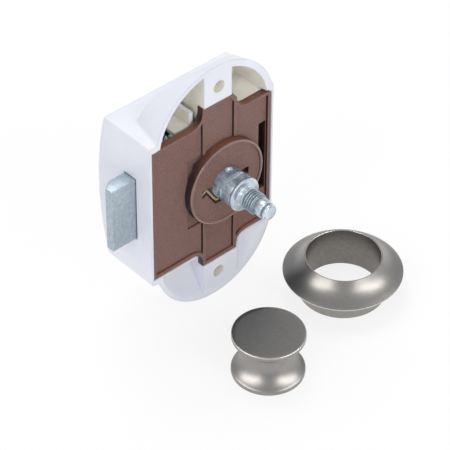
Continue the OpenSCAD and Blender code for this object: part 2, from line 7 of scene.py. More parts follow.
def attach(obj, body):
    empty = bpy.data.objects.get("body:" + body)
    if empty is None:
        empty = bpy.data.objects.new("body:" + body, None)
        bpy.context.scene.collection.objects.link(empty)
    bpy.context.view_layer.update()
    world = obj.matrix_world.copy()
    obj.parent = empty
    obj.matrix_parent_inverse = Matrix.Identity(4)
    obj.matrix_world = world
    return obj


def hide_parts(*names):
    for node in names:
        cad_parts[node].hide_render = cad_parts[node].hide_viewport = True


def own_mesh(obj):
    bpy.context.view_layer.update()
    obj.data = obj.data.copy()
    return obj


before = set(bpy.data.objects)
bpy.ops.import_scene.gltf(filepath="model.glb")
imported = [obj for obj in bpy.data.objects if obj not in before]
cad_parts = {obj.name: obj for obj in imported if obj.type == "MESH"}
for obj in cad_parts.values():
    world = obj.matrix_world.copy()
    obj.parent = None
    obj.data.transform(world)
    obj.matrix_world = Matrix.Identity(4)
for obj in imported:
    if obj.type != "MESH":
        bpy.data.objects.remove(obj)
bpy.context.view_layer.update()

mm = 0.001  # sizes and places below are in millimetres, apart from the lamps, which are in metres


def hexColor(code):
    channels = [int(code[i:i + 2], 16) / 255 for i in (1, 3, 5)]
    return [c / 12.92 if c <= 0.04045 else ((c + 0.055) / 1.055) ** 2.4 for c in channels] + [1.0]


def addNode(tree, kind, values=None, links=None, **settings):
    node = tree.nodes.new("ShaderNode" + kind)
    for key, value in settings.items():
        setattr(node, key, value)
    for key, value in (values or {}).items():
        node.inputs[key].default_value = value
    for key, socket in (links or {}).items():
        tree.links.new(socket, node.inputs[key])
    return node


def clearSelection():
    if bpy.context.object and bpy.context.object.mode != "OBJECT":
        bpy.ops.object.mode_set(mode="OBJECT")
    bpy.ops.object.select_all(action="DESELECT")


def pick(piece):
    clearSelection()
    piece.select_set(True)
    bpy.context.view_layer.objects.active = piece


def bakePlace(piece):
    pick(piece)
    bpy.ops.object.transform_apply(location=True, rotation=True, scale=True)
    return piece


def addBlock(name, low, high):
    clearSelection()
    middle = [(a + b) / 2 * mm for a, b in zip(low, high)]
    size = [(b - a) * mm for a, b in zip(low, high)]
    bpy.ops.mesh.primitive_cube_add(size=1, location=middle, scale=size)
    bpy.context.object.name = name
    return bakePlace(bpy.context.object)


# a round bar along x, y or z, centred on the middle point
def addBar(name, radius, length, middle, along="y", sides=64, farRadius=None):
    clearSelection()
    turn = {"x": (0, math.pi / 2, 0), "y": (-math.pi / 2, 0, 0), "z": (0, 0, 0)}[along]
    bpy.ops.mesh.primitive_cone_add(
        vertices=sides, radius1=radius * mm, radius2=(radius if farRadius is None else farRadius) * mm,
        depth=length * mm, location=[m * mm for m in middle], rotation=turn)
    bpy.context.object.name = name
    return bakePlace(bpy.context.object)


# a flat outline drawn out along one axis, with its points in the other two axes
def addOutline(name, points, reach, along):
    clearSelection()
    bpy.ops.mesh.primitive_circle_add(vertices=len(points), radius=mm, fill_type="NGON")
    piece = bpy.context.object
    piece.name = name
    low, high = (v * mm for v in reach)
    for corner, (u, v) in zip(piece.data.vertices, points):
        a, b = u * mm, v * mm
        corner.co = {"x": (low, a, b), "y": (a, low, b), "z": (a, b, low)}[along]
    bpy.ops.object.mode_set(mode="EDIT")
    bpy.ops.mesh.select_all(action="SELECT")
    pull = {"x": (high - low, 0, 0), "y": (0, high - low, 0), "z": (0, 0, high - low)}[along]
    bpy.ops.mesh.extrude_region_move(TRANSFORM_OT_translate={"value": pull})
    bpy.ops.mesh.select_all(action="SELECT")
    bpy.ops.mesh.normals_make_consistent(inside=False)
    bpy.ops.object.mode_set(mode="OBJECT")
    return piece


# rings of (radius, height) pulled up one after another, as on a lathe
def turnPiece(name, rings, at=(0, 0, 0), along="z", sides=128, closed=False):
    clearSelection()
    radius, height = rings[0]
    least = 0.001  # a ring on the axis is kept this small and merged afterwards
    bpy.ops.mesh.primitive_circle_add(vertices=sides, radius=max(radius, least) * mm, fill_type="NOTHING")
    piece = bpy.context.object
    piece.name = name
    bpy.ops.object.mode_set(mode="EDIT")
    bpy.ops.mesh.select_all(action="SELECT")
    bpy.ops.transform.translate(value=(0, 0, height * mm))
    for nextRadius, nextHeight in rings[1:] + ([rings[0]] if closed else []):
        bpy.ops.mesh.extrude_region_move(
            TRANSFORM_OT_translate={"value": (0, 0, (nextHeight - height) * mm)})
        share = max(nextRadius, least) / max(radius, least)
        bpy.ops.transform.resize(value=(share, share, 1), center_override=(0, 0, nextHeight * mm))
        radius, height = nextRadius, nextHeight
    bpy.ops.mesh.select_all(action="SELECT")
    bpy.ops.mesh.remove_doubles(threshold=0.004 * mm)
    bpy.ops.mesh.normals_make_consistent(inside=False)
    bpy.ops.object.mode_set(mode="OBJECT")
    if along == "y":
        piece.rotation_euler = (math.pi / 2, 0, 0)  # up becomes towards the door
    piece.location = [a * mm for a in at]
    return bakePlace(piece)


def cutWith(piece, cutters, operation="DIFFERENCE", solver="EXACT"):
    for cutter in cutters:
        pick(piece)
        tool = piece.modifiers.new("cut", "BOOLEAN")
        tool.operation = operation
        tool.solver = solver
        tool.object = cutter
        bpy.ops.object.modifier_apply(modifier=tool.name)
        bpy.data.objects.remove(cutter)
    return piece


def softEdges(piece, width, segments=3, angle=32, clamp=True):
    pick(piece)
    edge = piece.modifiers.new("edges", "BEVEL")
    edge.width = width * mm
    edge.segments = segments
    edge.limit_method = "ANGLE"
    edge.angle_limit = math.radians(angle)
    edge.use_clamp_overlap = clamp
    edge.miter_outer = "MITER_ARC"
    bpy.ops.object.modifier_apply(modifier=edge.name)
    return piece


def smoothShade(piece, angle=35):
    pick(piece)
    bpy.ops.object.shade_smooth_by_angle(angle=math.radians(angle))
    return piece


def tidyMesh(piece, gap=0.002):
    pick(piece)
    bpy.ops.object.mode_set(mode="EDIT")
    bpy.ops.mesh.select_all(action="SELECT")
    bpy.ops.mesh.remove_doubles(threshold=gap * mm)
    bpy.ops.mesh.normals_make_consistent(inside=False)
    bpy.ops.object.mode_set(mode="OBJECT")
    return piece


# puts a finished piece in place of its CAD nodes
def finishPiece(piece, body, nodes, materials):
    piece.data.materials.clear()
    for material in materials:
        piece.data.materials.append(material)
    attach(piece, body)
    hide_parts(*nodes)
    print("finished", piece.name, len(piece.data.polygons), "faces")
    return piece


# Camera fitted to the lock in the photograph
cameraSetup = {"focal": 2400, "pixels": 450, "sensor": 36, "azimuth": -42.14, "elevation": 41.0,
               "roll": 0.33, "shiftRight": -0.5293, "shiftUp": 11.9837, "distance": 630.2}


def placeCamera(setup):
    a, e, r = (math.radians(setup[k]) for k in ("azimuth", "elevation", "roll"))
    back = Vector((math.sin(a) * math.cos(e), -math.cos(a) * math.cos(e), math.sin(e)))
    right = Vector((math.cos(a), math.sin(a), 0))
    up = back.cross(right)
    spot = back * setup["distance"] - right * setup["shiftRight"] - up * setup["shiftUp"]
    turnedRight = right * math.cos(r) + up * math.sin(r)
    turnedUp = up * math.cos(r) - right * math.sin(r)
    camera = bpy.data.objects.new("camera", bpy.data.cameras.new("camera"))
    bpy.context.scene.collection.objects.link(camera)
    camera.matrix_world = Matrix.Translation(spot * mm) @ Matrix(
        (turnedRight, turnedUp, back)).transposed().to_4x4()
    camera.data.sensor_width = setup["sensor"]
    camera.data.lens = setup["focal"] / setup["pixels"] * setup["sensor"]
    camera.data.clip_start = 0.05
    camera.data.clip_end = 20
    bpy.context.scene.camera = camera


placeCamera(cameraSetup)
print("camera placed")


# Floor, world and lamps
floorZ = -38.5
studio = {"worldLight": 0.6, "floorColor": "#F8F8FA", "floorGlow": 0.8, "fadeFrom": 0.08, "fadeTo": 0.35,
          "lampColor": "#FFFDFA", "left": 0.95, "right": 0.85, "top": 2.6, "side": 0.4, "fill": 0.9,
          "leftCard": 4.5, "rightCard": 3.96}
lampHolders = {}


def makeStudio(setup):
    clearSelection()
    bpy.ops.mesh.primitive_plane_add(size=6, location=(0, 0, floorZ * mm - 0.00002))
    floor = bpy.context.object
    floor.name = "studioFloor"
    # painted studio floor: matt white, lifted to the white of the background where the camera sees it
    paper = bpy.data.materials.new("whiteStudioPaper")
    paper.use_nodes = True
    tree = paper.node_tree
    tree.nodes.clear()
    matt = addNode(tree, "BsdfDiffuse", {"Color": hexColor(setup["floorColor"])})
    glow = addNode(tree, "Emission", {"Color": (1, 1, 1, 1), "Strength": 1.0})
    rays = addNode(tree, "LightPath")
    seen = addNode(tree, "Math", None,
                   {0: rays.outputs["Is Camera Ray"], 1: rays.outputs["Is Glossy Ray"]}, operation="MAXIMUM")
    # shadows stay on the floor near the pieces and fade into the white further out
    place = addNode(tree, "TexCoord").outputs["Object"]
    away = addNode(tree, "VectorMath", None, {0: place}, operation="LENGTH")
    whiter = addNode(tree, "MapRange",
                     {1: setup["fadeFrom"], 2: setup["fadeTo"], 3: setup["floorGlow"], 4: 1.0},
                     {0: away.outputs["Value"]})
    share = addNode(tree, "Math", None, {0: seen.outputs[0], 1: whiter.outputs[0]}, operation="MULTIPLY")
    mixed = addNode(tree, "MixShader", None, {0: share.outputs[0], 1: matt.outputs[0], 2: glow.outputs[0]})
    addNode(tree, "OutputMaterial", None, {"Surface": mixed.outputs[0]})
    floor.data.materials.append(paper)

    world = bpy.data.worlds.new("softWhiteRoom")
    bpy.context.scene.world = world
    world.use_nodes = True
    tree = world.node_tree
    tree.nodes.clear()
    room = addNode(tree, "Background", {"Color": (0.95, 0.97, 1, 1), "Strength": setup["worldLight"]})
    white = addNode(tree, "Background", {"Color": (1, 1, 1, 1), "Strength": 1.0})
    rays = addNode(tree, "LightPath")
    mixed = addNode(tree, "MixShader", None,
                    {0: rays.outputs["Is Camera Ray"], 1: room.outputs[0], 2: white.outputs[0]})
    addNode(tree, "OutputWorld", None, {"Surface": mixed.outputs[0]})

    lamps = {  # name: power, width, height, place in metres
        "leftBox": (setup["left"], 0.34, 0.34, (-0.60, -0.13, 0.46)),
        "rightBox": (setup["right"], 0.34, 0.34, (0.00, -0.60, 0.46)),
        "topBox": (setup["top"], 0.50, 0.50, (0.10, 0.35, 0.75)),
        "sideBox": (setup["side"], 0.30, 0.30, (0.62, -0.10, 0.20)),
        "lowFill": (setup["fill"], 0.60, 0.30, (-0.25, -0.70, 0.06)),
        "leftCard": (setup["leftCard"], 1.00, 0.34, (-0.70, 0.16, 0.40)),
        "rightCard": (setup["rightCard"], 0.90, 0.34, (0.29, -0.66, 0.40)),
    }
    for name, (power, width, height, place) in lamps.items():
        lamp = bpy.data.lights.new(name, "AREA")
        lamp.energy = power
        lamp.shape = "RECTANGLE"
        lamp.size = width
        lamp.size_y = height
        lamp.color = hexColor(setup["lampColor"])[:3]
        holder = bpy.data.objects.new(name, lamp)
        holder.location = place
        holder.rotation_euler = Vector(place).to_track_quat("Z", "Y").to_euler()
        bpy.context.scene.collection.objects.link(holder)
        lampHolders[name] = holder
    bpy.context.scene.view_settings.view_transform = "Standard"


makeStudio(studio)
print("studio lit")


# every material starts from one shader, with its fine edges rounded
def startMaterial(name, color, roughness, metallic=0.0, edge=0.1):
    material = bpy.data.materials.new(name)
    material.use_nodes = True
    tree = material.node_tree
    tree.nodes.clear()
    shader = addNode(tree, "BsdfPrincipled",
                     {"Base Color": hexColor(color), "Roughness": roughness, "Metallic": metallic})
    addNode(tree, "OutputMaterial", None, {"Surface": shader.outputs[0]})
    # soft corner light on edges too fine to model
    rounded = addNode(tree, "Bevel", {"Radius": edge * mm}, samples=4).outputs[0]
    tree.links.new(rounded, shader.inputs["Normal"])
    return material, tree, shader, rounded


# noise with the size of its patches in millimetres
def addNoise(tree, size, detail, roughness=0.5):
    place = addNode(tree, "TexCoord").outputs["Object"]
    return addNode(tree, "TexNoise", {"Scale": 1000 / size, "Detail": detail, "Roughness": roughness},
                   {"Vector": place}).outputs[0]


# base colour that wanders between two tones with a noise
def paintTones(tree, shader, noise, low, high, spread=(0.35, 0.65)):
    levels = addNode(tree, "MapRange", {1: spread[0], 2: spread[1]}, {0: noise})
    tone = addNode(tree, "Mix", {6: hexColor(low), 7: hexColor(high)}, {0: levels.outputs[0]},
                   data_type="RGBA").outputs[2]
    tree.links.new(tone, shader.inputs["Base Color"])
    return tone


def addRelief(tree, shader, noise, rounded, strength, depth):
    bump = addNode(tree, "Bump", {"Strength": strength, "Distance": depth * mm},
                   {"Height": noise, "Normal": rounded})
    tree.links.new(bump.outputs[0], shader.inputs["Normal"])


def makeCasePlastic():
    # white ABS, injection moulded: cool white, soft sheen, faint flow marks
    material, tree, shader, rounded = startMaterial("mouldedWhiteAbs", "#E6E8F0", 0.42, edge=0.35)
    paintTones(tree, shader, addNoise(tree, 14, 2), "#E2E4EE", "#EAECF3", (0.3, 0.7))
    addRelief(tree, shader, addNoise(tree, 0.7, 2), rounded, 0.12, 0.02)
    return material


def makeShadedInnerPlastic():
    # the same ABS inside the pockets, painted warmer as shade and warm bounced light, with a duller sheen
    material, tree, shader, _ = startMaterial("whiteAbsPaintedShade", "#EAE7DC", 0.5, edge=0.3)
    paintTones(tree, shader, addNoise(tree, 6, 3), "#E3E0D4", "#F0EEE6", (0.3, 0.7))
    return material


def makeIvoryPlastic():
    # natural acetal, moulded: slippery off-white plastic of the inner parts
    material, tree, shader, _ = startMaterial("naturalAcetal", "#DAD4BF", 0.35, edge=0.15)
    paintTones(tree, shader, addNoise(tree, 3, 2), "#D2CBB4", "#E0DBC8", (0.3, 0.7))
    return material


def makeBrownPlastic(name, low, high, roughness, shade=None, shine=0.0):
    # brown nylon, moulded with a spark-eroded grain of about 0.3 mm
    material, tree, shader, rounded = startMaterial(name, high, roughness, edge=0.12)
    shader.inputs["Coat Weight"].default_value = shine
    grain = addNoise(tree, 0.45, 4, 0.6)
    tone = paintTones(tree, shader, grain, low, high)
    if shade:  # painted shade: walls that face the bolt side are darkened towards almost black
        facing = addNode(tree, "SeparateXYZ", None, {0: addNode(tree, "NewGeometry").outputs["Normal"]})
        turned = addNode(tree, "MapRange", {1: -0.25, 2: -0.85}, {0: facing.outputs[0]})
        shaded = addNode(tree, "Mix", {7: hexColor(shade)}, {0: turned.outputs[0], 6: tone}, data_type="RGBA")
        tree.links.new(shaded.outputs[2], shader.inputs["Base Color"])
    addRelief(tree, shader, grain, rounded, 0.25, 0.03)
    return material


def makeZinc(name, low, high, roughness, patch, metallic=1.0, pitting=0.35):
    # zinc die casting, tumbled: bluish grey metal with cloudy patches and fine pits
    material, tree, shader, rounded = startMaterial(name, high, roughness, metallic, 0.2)
    cloud = addNoise(tree, patch, 5, 0.65)
    paintTones(tree, shader, cloud, low, high)
    rough = addNode(tree, "MapRange", {1: 0.3, 2: 0.7, 3: roughness + 0.08, 4: roughness - 0.08}, {0: cloud})
    tree.links.new(rough.outputs[0], shader.inputs["Roughness"])
    addRelief(tree, shader, addNoise(tree, 0.6, 3), rounded, pitting, 0.04)
    return material


def makeNickel(name, low, high, roughness):
    # brass plated with satin nickel, lacquered: warm grey metal with a broad soft shine
    material, tree, shader, _ = startMaterial(name, high, roughness, 1.0, 0.2)
    paintTones(tree, shader, addNoise(tree, 1.2, 5), low, high, (0.3, 0.7))
    return material


def makePlainMetal(name, low, high, roughness):
    # drawn wire and stamped strip: faint patches along the metal
    material, tree, shader, _ = startMaterial(name, high, roughness, 1.0, 0.08)
    paintTones(tree, shader, addNoise(tree, 0.8, 3), low, high)
    return material


finishes = {
    "white": makeCasePlastic(),
    "inner": makeShadedInnerPlastic(),
    "brown": makeBrownPlastic("grainedBrownNylon", "#70504A", "#856359", 0.5),
    # a redder edge tone, with painted shade darkening the walls that face the bolt side
    "brownEdgeAndShade": makeBrownPlastic("brownNylonEdgeAndShade", "#6E4438", "#84543F", 0.42, "#2E1A17"),
    "brownLip": makeBrownPlastic("rubbedBrownNylon", "#7A5850", "#8C675C", 0.2, None, 0.9),
    "boltZinc": makeZinc("tumbledZincCasting", "#A9B6C0", "#C1CDD6", 0.5, 1.0, 1.0, 0.2),
    "spindleZinc": makeZinc("passivatedZinc", "#8A9AAE", "#DCE6EF", 0.34, 1.3, 0.6, 0.25),
    # the stud's own bright zinc, also used as a painted highlight on the sleeve
    "collarZincAndHighlight": makeZinc("brightZincStudAndHighlight", "#B7C5D1", "#E2EAF0", 0.3, 2.2, 0.8, 0.15),
    # darker zinc for the stud's thread and groove, also painted shade in the sleeve's window
    "grooveZincAndShade": makeZinc("darkZincGrooveAndShade", "#77858F", "#95A2AE", 0.42, 1.4, 0.7),
    "nickel": makeNickel("satinNickelPlate", "#979490", "#9D9A97", 0.37),
    # darker nickel: painted shade in the rosette's bore and the hollow under the knob's cap, also a duller
    # sheen
    "nickelBoreShade": makeNickel("dullNickelPaintedShade", "#7A7672", "#86817D", 0.42),
    # pale nickel: a painted highlight along the rims
    "nickelRimHighlight": makeNickel("nickelEdgePaintedHighlight", "#C4C1BC", "#D0CDC8", 0.24),
    "steel": makePlainMetal("brightSteelWire", "#85888C", "#A3A6AA", 0.3),
    "brass": makePlainMetal("springBrass", "#C6AE7E", "#E4D3AA", 0.34),
    "ivory": makeIvoryPlastic(),
}
nodeFinish = {
    "housing": "white", "cover_plate": "brown", "guide_disc": "brown", "bolt": "boltZinc",
    "drive_block": "ivory", "drive_pins": "steel", "spindle_sleeve": "spindleZinc",
    "threaded_stud": "spindleZinc", "retaining_clip": "steel", "spring_seat": "steel",
    "return_spring": "steel", "latch_track": "ivory", "latch_wire": "steel", "leaf_spring": "brass",
    "bolt_spring": "steel", "bolt_spring_rod": "steel", "bolt_spring_cup": "ivory",
    "rosette": "nickel", "knob": "nickel", "knob_insert": "ivory", "knob_clip": "steel",
}
for nodeName, finishName in nodeFinish.items():
    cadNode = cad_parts[nodeName]
    if not cadNode.material_slots:
        cadNode.data.materials.append(None)
    for holder in cadNode.material_slots:
        holder.material = finishes[finishName]
print("materials made")


# Case: one white moulding with round ends, pockets, screw pads and the seat of the plate
caseShape = {
    # outside
    "boltSide": -25.0, "farSide": 17.5, "middle": -4, "bodyHalf": 23.2, "bodyBack": 21.4,
    "crownRadius": 91.2, "endRadius": 20.3, "endX": -2.8, "endZ": 18.2, "endSlope": 0.22, "endDepth": 13.2,
    "backRadius": 20.0, "backY": -8.617, "backZ": 20.501,
    # the voxels and the passes that round the moulded corners
    "voxel": 0.4, "relaxing": 14,
    # hollows: low corner, high corner
    "cavity": ((-23.3, -1, -21.6), (16.3, 17.2, 21.6)), "deep": ((-23.3, 5, -12.6), (16.3, 19.4, 12.6)),
    "leftRoom": ((-25, -1, 20.6), (-6.6, 14.2, 42)), "cavitySoftness": 0.8,
    # right pocket: where it starts, and its floor as depth and height, which rises to the back
    "rightStart": 2.8, "pocketFloor": [(-2, 20.8), (2.3, 20.8), (2.3, 20.9), (7.5, 23.1), (14, 23.1)],
    "pocketTop": 39, "pocketWall": 1.3,
    # lower bowls: depth, first and last x, height of the edge
    "leftBowl": (7.6, -25, -6.9, 22.1), "rightBowl": (5.0, 5.4, 17.5, 22.5),
    # ribs that stand in the hollow
    "rib": ((-8.9, 3.2, 19.5), (-7.6, 12, 24.7)), "shelf": ((-14.0, 3.2, 19.9), (-8.5, 12, 21.1)),
    "springWall": ((-8.6, 3.5, 13.4), (-7.0, 17.3, 19.8)), "trackStop": ((10.7, 16.4, -4), (11.9, 19.5, 4)),
    "spigot": 1.7, "spigotLength": 7.1, "spigotY": 15.9, "railZ": 9.05, "railHalf": 1, "ribSoftness": 0.3,
    # openings
    "boltSlot": ((-26, 5.65, -10.25), (-22.1, 10.45, 10.25)),
    "screwX": -1.5, "screwZ": 31.5, "screwRadius": 1.8, "headRadius": 3.8, "headSeat": 2.4,
}
plateShape = {
    "left": -24.2, "right": 16.9, "half": 21.4, "drop": 0.7, "face": 0.3, "back": 2.3, "panelHalf": 26.7,
    "panelLeft": -6.9, "panelRight": 4.9, "corner": (1.5, 1.9), "sweep": 3.8, "rib": 1.0, "ribHeight": 0.7,
    "window": 11.6, "windowDepth": 0.6, "windowLedge": 2.4, "bossHole": 11.6, "discRecess": 12.9,
    "slit": (13.3, 15.7), "slitHalf": 11.3, "skirt": (16.2, -15.3, 10.8), "skirtDepth": 4.1,
    "gap": 0.1, "softness": 0.16,
}


# the plate's edge in x and z, grown or shrunk, with a concave quarter sweep beside each corner of the panel
def plateOutline(shape, grow):
    left, right = shape["left"] - grow, shape["right"] + grow
    half, drop, panel = shape["half"] + grow, shape["drop"], shape["panelHalf"] + grow
    x0, x1, sweep = shape["panelLeft"], shape["panelRight"], shape["sweep"]
    cornerX, cornerZ = shape["corner"]
    r = sweep - grow
    quarter = [(r * math.sin(math.radians(a)), r * math.cos(math.radians(a))) for a in range(0, 91, 9)]
    topLeft = [(x0 - sweep + a, shape["half"] + sweep - b) for a, b in quarter]
    topRight = [(x1 + sweep - a, shape["half"] + sweep - drop - b) for a, b in quarter]
    lowRight = [(x, -z - 2 * drop) for x, z in topRight]
    lowLeft = [(x, -z) for x, z in topLeft]
    return ([(left, half)] + topLeft + [(x0 - grow, panel), (x1 + grow - cornerX, panel)]
            + [(x1 + grow, panel - cornerZ)] + topRight[::-1]
            + [(right, half - drop), (right, -half - drop)] + lowRight
            + [(x1 + grow, -panel), (x0 - grow, -panel)] + lowLeft[::-1] + [(left, -half)])


# one round end of the case, a cone under a curved back, or the same shape smaller by inset and wall
def roundEnd(name, shape, inset, wall, up):
    front = 3.0 if inset == 0 else 1.0
    depth, slope = shape["endDepth"], shape["endSlope"]
    r = shape["endRadius"] - inset
    end = addBar(name, r + front * slope, front + depth,
                 (shape["endX"], (depth - front) / 2, up * shape["endZ"]), "y", 192, r - depth * slope)
    back = addBar("endBack", shape["backRadius"] - wall, 60,
                  (shape["middle"], shape["backY"], up * shape["backZ"]), "x", 240)
    return cutWith(end, [back], "INTERSECT")


# the room over a pocket's floor, given as depth and height, out past the end of the case
def pocketRoom(name, shape, floor, x0, x1, up):
    (front, _), (back, _) = floor[0], floor[-1]
    points = floor + [(back, shape["pocketTop"]), (front, shape["pocketTop"])]
    return addOutline(name, [(y, z * up) for y, z in points], (x0, x1), "x")


def makeOutside(shape):
    body = addBlock("whiteCase", (shape["boltSide"], -3, -shape["bodyHalf"]),
                    (shape["farSide"], shape["bodyBack"] + 1, shape["bodyHalf"]))
    crown = addBar("crown", shape["crownRadius"], 60,
                   (shape["middle"], shape["bodyBack"] - shape["crownRadius"], 0), "x", 512)
    cutWith(body, [crown], "INTERSECT")
    ends = [roundEnd("topEnd", shape, 0, 0, 1), roundEnd("bottomEnd", shape, 0, 0, -1)]
    cutWith(body, ends, "UNION")
    # moulded corners: remeshed finely and relaxed, which rounds every outer edge by about a millimetre
    pick(body)
    finer = body.modifiers.new("finer", "REMESH")
    finer.mode = "VOXEL"
    finer.voxel_size = shape["voxel"] * mm
    bpy.ops.object.modifier_apply(modifier=finer.name)
    relax = body.modifiers.new("relax", "SMOOTH")
    relax.factor = 0.5
    relax.iterations = shape["relaxing"]
    bpy.ops.object.modifier_apply(modifier=relax.name)
    print("case outside", len(body.data.polygons))
    return body


def makeHollows(shape, plate):
    wall = shape["pocketWall"]
    front = addBlock("front", (-40, -9, -50), (40, 0, 50))
    cavity = softEdges(addBlock("cavity", *shape["cavity"]), shape["cavitySoftness"])
    cutWith(cavity, [addBlock("farFloor", (shape["rightStart"], plate["back"] + 0.1, 19.5), (20, 20, 25))])
    deep = softEdges(addBlock("deep", *shape["deep"]), shape["cavitySoftness"])
    # upper pockets, each kept inside a slightly larger guard after its edges are softened
    right = roundEnd("rightPocket", shape, 2, wall, 1)
    cutWith(right, [pocketRoom("rightRoom", shape, shape["pocketFloor"], shape["rightStart"],
                               shape["farSide"], 1)], "INTERSECT")
    softEdges(right, 0.6, 3, 50)
    cutWith(right, [roundEnd("rightGuard", shape, 1.8, wall - 0.2, 1)], "INTERSECT")
    left = roundEnd("leftPocket", shape, wall, wall, 1)
    cutWith(left, [addBlock("leftRoom", *shape["leftRoom"])], "INTERSECT")
    softEdges(left, 0.4, 2, 50)
    cutWith(left, [roundEnd("leftGuard", shape, wall - 0.2, wall - 0.2, 1)], "INTERSECT")
    hollows = [front, cavity, deep, right, left]
    for name in ("leftBowl", "rightBowl"):  # lower bowls: the cap of a large ball over a rising floor
        deepest, x0, x1, edge = shape[name]
        rim = shape["endRadius"] - wall
        away = (rim * rim - deepest * deepest) / (2 * deepest)
        clearSelection()
        bpy.ops.mesh.primitive_uv_sphere_add(
            segments=160, ring_count=80, radius=(away + deepest) * mm,
            location=(shape["endX"] * mm, -away * mm, -shape["endZ"] * mm))
        bowl = bakePlace(bpy.context.object)
        floor = [(-2, edge), (0.3, edge)] + shape["pocketFloor"][-2:]
        cutWith(bowl, [pocketRoom(name + "Room", shape, floor, x0, x1, -1)], "INTERSECT")
        hollows.append(softEdges(bowl, 0.9, 4, 28))
    return hollows


def makeRibs(shape):
    shown = [addBlock(name, *shape[name]) for name in ("rib", "shelf")]
    spigot = addBar("spigot", shape["spigot"], shape["spigotLength"], (0, shape["spigotY"], 0), "y", 48)
    ribs = shown + [addBlock("springWall", *shape["springWall"]), spigot,
                    addBlock("trackStop", *shape["trackStop"])]
    for side in (-1, 1):
        z = side * shape["railZ"]
        ribs.append(addBlock("rail", (-20, 18.5, z - shape["railHalf"]), (14, 19.5, z + shape["railHalf"])))
    for rib in shown:
        cutWith(rib, [roundEnd("ribGuard", shape, 0.8, 0.8, 1)], "INTERSECT")
    return [softEdges(rib, shape["ribSoftness"], 2) for rib in ribs]


def makeOpenings(shape, plate):
    cuts = [addOutline("seat", plateOutline(plate, plate["gap"]), (-1, plate["back"]), "y"),
            addBlock("boltSlot", *shape["boltSlot"])]
    r, x = shape["screwRadius"], shape["screwX"]
    for side in (-1, 1):
        z = side * shape["screwZ"]
        cuts += [addBar("screwHole", r, 16, (x, 5, z), "y", 64),
                 addBar("screwHead", shape["headRadius"], 12, (x, shape["headSeat"] + 6, z), "y", 64),
                 addBar("screwRim", r + 0.5, 1, (x, 0, z), "y", 64, r - 0.3)]
    return cuts


# the painted warm shade goes in the hollow, in the two upper pockets and in the screw holes
def isInShadedHollow(shape, x, y, z):
    underBack = math.hypot(y - shape["bodyBack"] + shape["crownRadius"], z) < shape["crownRadius"] - 0.9
    (x0, _, z0), (x1, _, z1) = shape["cavity"]
    inHollow = x0 - 0.2 < x < x1 + 0.1 and 2.4 < y < 19.6 and z0 - 0.15 < z < z1 + 0.3 and underBack
    fromAxis = math.hypot(x - shape["endX"], z - shape["endZ"]) + y * shape["endSlope"]
    fromBack = math.hypot(y - shape["backY"], z - shape["backZ"])
    underSkin = fromAxis < shape["endRadius"] - 1.0 and fromBack < shape["backRadius"] - 0.8
    besidePad = x < -6.4 or x > shape["rightStart"] - 0.1
    inPocket = underSkin and z > 20.5 and y > 0.35 and besidePad
    fromScrew = math.hypot(x - shape["screwX"], abs(z) - shape["screwZ"])
    inHole = y > 0.6 and fromScrew < shape["headRadius"] + 0.1
    return inHollow or inPocket or inHole


# the rib and the shelf stand out into the light, so they get no painted shade there
def isLitOutOfShade(x, y, z, up):
    return z > 19.7 and -14.1 < x < -7.4 and (y < 3.5 or z > 24.4 and up > 0.5 or x < -13.6)


def makeCase(shape, plate):
    body = makeOutside(shape)
    cutWith(body, makeHollows(shape, plate), solver="MANIFOLD")
    cutWith(body, makeRibs(shape), "UNION", "MANIFOLD")
    cutWith(body, makeOpenings(shape, plate), solver="MANIFOLD")
    tidyMesh(body, 0.01)
    smoothShade(body, 30)
    finishPiece(body, "housing", ["housing"], [finishes["white"], finishes["inner"]])
    for face in body.data.polygons:
        x, y, z = (c / mm for c in face.center)
        if isInShadedHollow(shape, x, y, z) and not isLitOutOfShade(x, y, z, face.normal.z):
            face.material_index = 1
    return body


# Cover plate: fields between raised ribs, with a square window, a round recess and a slit
def makePlate(shape):
    face, back, drop = shape["face"], shape["back"], shape["drop"]
    plate = addOutline("ribbedPlate", plateOutline(shape, 0), (face, back), "y")
    # skirt behind the slit, along the wall of the case
    skirtEnd, skirtLow, skirtHigh = shape["skirt"]
    skirt = addBlock("skirt", (shape["slit"][1], back - 0.1, skirtLow),
                     (skirtEnd, back + shape["skirtDepth"], skirtHigh))
    cutWith(plate, [skirt], "UNION")
    fieldBack = face + shape["ribHeight"]
    field = addOutline("field", plateOutline(shape, -shape["rib"]), (-1, fieldBack), "y")
    ribs = [addBlock("panelRib", (x, -2, -40), (x + shape["rib"], 4, 40))
            for x in (shape["panelLeft"], shape["panelRight"] - shape["rib"])]
    cutWith(field, ribs)
    w, ledge = shape["window"], shape["window"] - shape["windowLedge"]
    cuts = [field,
            addBlock("window", (-w, -1, -w),
                     (shape["panelRight"] - shape["rib"], fieldBack + shape["windowDepth"], w)),
            addBar("bossHole", shape["bossHole"], 5, (0, 1.5, 0), "y", 128),
            addBar("discRecess", shape["discRecess"], 2, (0, fieldBack - 1, 0), "y", 160),
            addBlock("cornerHoles", (-ledge, 0, -ledge), (0, 5, ledge)),
            addBlock("slit", (shape["slit"][0], -1, -shape["slitHalf"] - drop / 2),
                     (shape["slit"][1], 3.2, shape["slitHalf"] - drop / 2))]
    cutWith(plate, cuts)
    tidyMesh(plate, 0.01)
    softEdges(plate, shape["softness"], 2, 40)
    smoothShade(plate, 40)
    finishPiece(plate, "housing", ["cover_plate"],
                [finishes["brown"], finishes["brownEdgeAndShade"]])
    for side in plate.data.polygons:  # walls of ribs and edges are redder than the grained fields, with painted shade on those that face the bolt side
        if abs(side.normal.y) < 0.75:
            side.material_index = 1
    return plate


